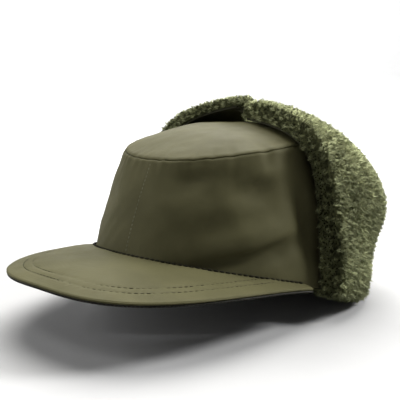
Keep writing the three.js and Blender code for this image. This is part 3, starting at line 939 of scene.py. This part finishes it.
def cloth_material(name):
    cloth = CLOTHS[name]
    material, node, link = new_material(name)
    shader = principled(material)
    coordinates = node("ShaderNodeTexCoord").outputs["Object"]
    colour = noise_colour(node, link, coordinates, CLOTH_PATCH_SCALE, cloth["dark"], cloth["light"])
    link(colour, shader.inputs["Base Color"])
    worn = node("ShaderNodeMapRange")
    worn.inputs["To Min"].default_value = cloth["roughness"] - WORN_SMOOTHER
    worn.inputs["To Max"].default_value = cloth["roughness"] + WORN_ROUGHER
    link(noise_at(node, link, coordinates, Scale=60.0, Detail=6.0), worn.inputs["Value"])
    link(worn.outputs["Result"], shader.inputs["Roughness"])
    set_inputs(shader, {
        "Sheen Weight": cloth["sheen"],
        "Sheen Roughness": 0.5,
        "Sheen Tint": (*cloth["light"], 1),
        "Specular IOR Level": 0.03,
    })
    weave = bump_of(node, link, weave_height(node, link, coordinates, cloth["threads"]), **WEAVE_BUMP)
    slack = noise_at(node, link, coordinates, Scale=90.0, Detail=3.0)
    bump = bump_of(node, link, slack, **SLACK_BUMP)
    link(weave.outputs["Normal"], bump.inputs["Normal"])
    link(bump.outputs["Normal"], shader.inputs["Normal"])
    return material


def pile_material():
    material, node, link = new_material("curly_pile")
    shader = principled(material)
    coordinates = node("ShaderNodeTexCoord").outputs["Object"]
    shade = node("ShaderNodeAttribute", attribute_name="shade")
    tones = ramp_of(node, link, shade.outputs["Fac"], PILE_TONES)
    patches = noise_colour(node, link, coordinates, **PILE_PATCHES)
    mixed = node("ShaderNodeMix", data_type="RGBA", blend_type="MULTIPLY")
    mixed.inputs["Factor"].default_value = 1.0
    link(tones, mixed.inputs["A"])
    link(patches, mixed.inputs["B"])
    link(mixed.outputs["Result"], shader.inputs["Base Color"])
    set_inputs(shader, {
        "Roughness": 0.95,
        "Sheen Weight": 0.2,
        "Sheen Roughness": 0.6,
        "Sheen Tint": (*PILE_LIGHT, 1),
        "Specular IOR Level": 0.03,
    })
    wool = noise_at(node, link, coordinates, Scale=1400.0, Detail=4.0)
    link(bump_of(node, link, wool, **WOOL_BUMP).outputs["Normal"], shader.inputs["Normal"])
    return material


def floor_material():
    material, node, link = new_material("pale_floor")
    shader = principled(material)
    coordinates = node("ShaderNodeTexCoord").outputs["Object"]
    link(noise_colour(node, link, coordinates, **FLOOR_PATCHES), shader.inputs["Base Color"])
    set_inputs(shader, {"Roughness": 0.9})
    return material


def studio_floor():
    """A wide pale floor that curves up into a wall all round."""
    rings, flat, bend = FLOOR["rings"], FLOOR["flat"], FLOOR["bend"]
    turn = np.linspace(0, RIGHT_ANGLE, FLOOR["bend_steps"])
    radius = np.concatenate([rings, flat + bend * np.sin(turn), [flat + bend]])
    height = np.concatenate([np.zeros(len(rings)), bend * (1 - np.cos(turn)), [FLOOR["wall"]]])
    around = np.linspace(0, 2 * math.pi, FLOOR["round_steps"])[:, None]
    grid = np.stack([radius * np.cos(around), radius * np.sin(around), height + 0 * around], axis=-1)
    index = np.arange(grid.shape[0] * grid.shape[1]).reshape(grid.shape[:2])
    floor = mesh_object("studio_floor", grid.reshape(-1, 3), grid_quads(index))
    tidy_mesh(floor.data, NODE_MERGE)
    floor.data.materials.append(floor_material())


def area_light(name, place, target, size, watts, colour):
    light = bpy.data.lights.new(name, "AREA")
    light.shape = "DISK"
    light.size = size
    light.energy = watts
    light.color = colour
    obj = new_object(name, light)
    obj.location = place
    obj.rotation_euler = (Vector(target) - Vector(place)).to_track_quat("-Z", "Y").to_euler()
    obj.visible_camera = False


def studio_light():
    """A soft light above and behind, two weak ones from the front, one on the flap, and one on the wall."""
    world = bpy.data.worlds.new("studio")
    bpy.context.scene.world = world
    world.use_nodes = True
    set_inputs(world.node_tree.nodes["Background"], {"Color": (*WHITE, 1), "Strength": WORLD_STRENGTH})
    for name, light in LIGHTS.items():
        area_light(name, **light)


def photo_camera():
    camera = bpy.data.cameras.new("photo_camera")
    camera.sensor_width = SENSOR_MM
    camera.lens = FOCAL_PIXELS / IMAGE_PIXELS * SENSOR_MM
    obj = new_object("photo_camera", camera)
    turn = Matrix((RIGHTWARD, UPWARD, BACKWARD)).transposed()
    obj.matrix_world = Matrix.Translation(Vector(placed(EYE))) @ turn.to_4x4()
    bpy.context.scene.camera = obj


def finish_piece(piece, slot, material, *nodes):
    piece.data.materials.append(material)
    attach(piece, "root")
    if nodes:
        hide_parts(*nodes)


def dress_crown(cloth, thread, light_thread):
    for side in (LEFT, RIGHT):
        name = SIDE_NAMES[side]
        panel = crown_side(side)
        finish_piece(panel, "shell_cloth", cloth, f"crown_side_{name}")
    top = crown_top()
    finish_piece(top, "shell_cloth", cloth, "crown_top")
    seam = stitch_row("front_seam_stitches", [front_seam_path()], SEAM_STITCH)
    finish_piece(seam, "shell_cloth", light_thread)
    root = stitch_row("peak_root_stitches", [root_path()], ROOT_STITCH)
    finish_piece(root, "shell_cloth", thread)


def dress_peak(cloth, knit, row_thread, edge_thread):
    cover = peak_layer("peak_cover_cloth", 0.0, COVER_THICKNESS, 0.0, COVER_GRID, cover_relief)
    finish_piece(cover, "shell_cloth", cloth, "peak_cover")
    top = COVER_THICKNESS + SEAM_GAP
    bottom = top + UNDERSIDE_THICKNESS
    under = peak_layer(
        "peak_underside_knit", top, bottom, UNDERSIDE_SET_BACK, UNDERSIDE_GRID, underside_relief
    )
    finish_piece(under, "peak_knit", knit, "peak_underside")
    rows = stitch_row("peak_stitch_rows", [peak_row_path(inset) for inset in STITCH_ROWS], STITCH)
    finish_piece(rows, "shell_cloth", row_thread)
    edge = stitch_row("peak_edge_stitches", [underside_edge_path()], EDGE_STITCH)
    finish_piece(edge, "peak_knit", edge_thread)


def dress_flap(shell_cloth, pile):
    cloth_tree = surface_tree(
        "crown_side_left", "crown_side_right", "flap_shell_left", "flap_shell_right"
    )
    for side in (LEFT, RIGHT):
        name = SIDE_NAMES[side]
        shell = flap_shell(side)
        finish_piece(shell, "flap_cloth", shell_cloth, f"flap_shell_{name}")
        body = pile_body(side, cloth_tree)
        # The pile's body is made dark: painted shade deep in the pile
        shade_attribute(body, np.full(len(body.data.vertices), BODY_PAINTED_SHADE))
        finish_piece(body, "pile", pile, f"flap_pile_{name}")
        edges, faces = parted_triangles(free_triangles(body, cloth_tree))
        curls = pile_tufts(f"pile_curls_{name}", edges, CURLS, side)
        finish_piece(curls, "pile", pile)
        fuzz = pile_tufts(f"pile_fuzz_{name}", faces, FUZZ, side)
        finish_piece(fuzz, "pile", pile)
    tab = subdivided_copy("flap_tie_tab", "tie_tab_cloth", levels=1, crease=1.0)
    finish_piece(tab, "flap_cloth", shell_cloth, "flap_tie_tab")


def dress_cap():
    material = {name: cloth_material(name) for name in CLOTHS}
    dress_crown(material["olive_cloth"], material["dark_thread"], material["light_thread"])
    dress_peak(
        material["olive_cloth"], material["grey_knit"], material["row_thread"], material["dark_thread"]
    )
    dress_flap(material["olive_cloth_painted_shade"], pile_material())


dress_cap()
studio_floor()
studio_light()
photo_camera()
bpy.context.scene.view_settings.view_transform = "Standard"
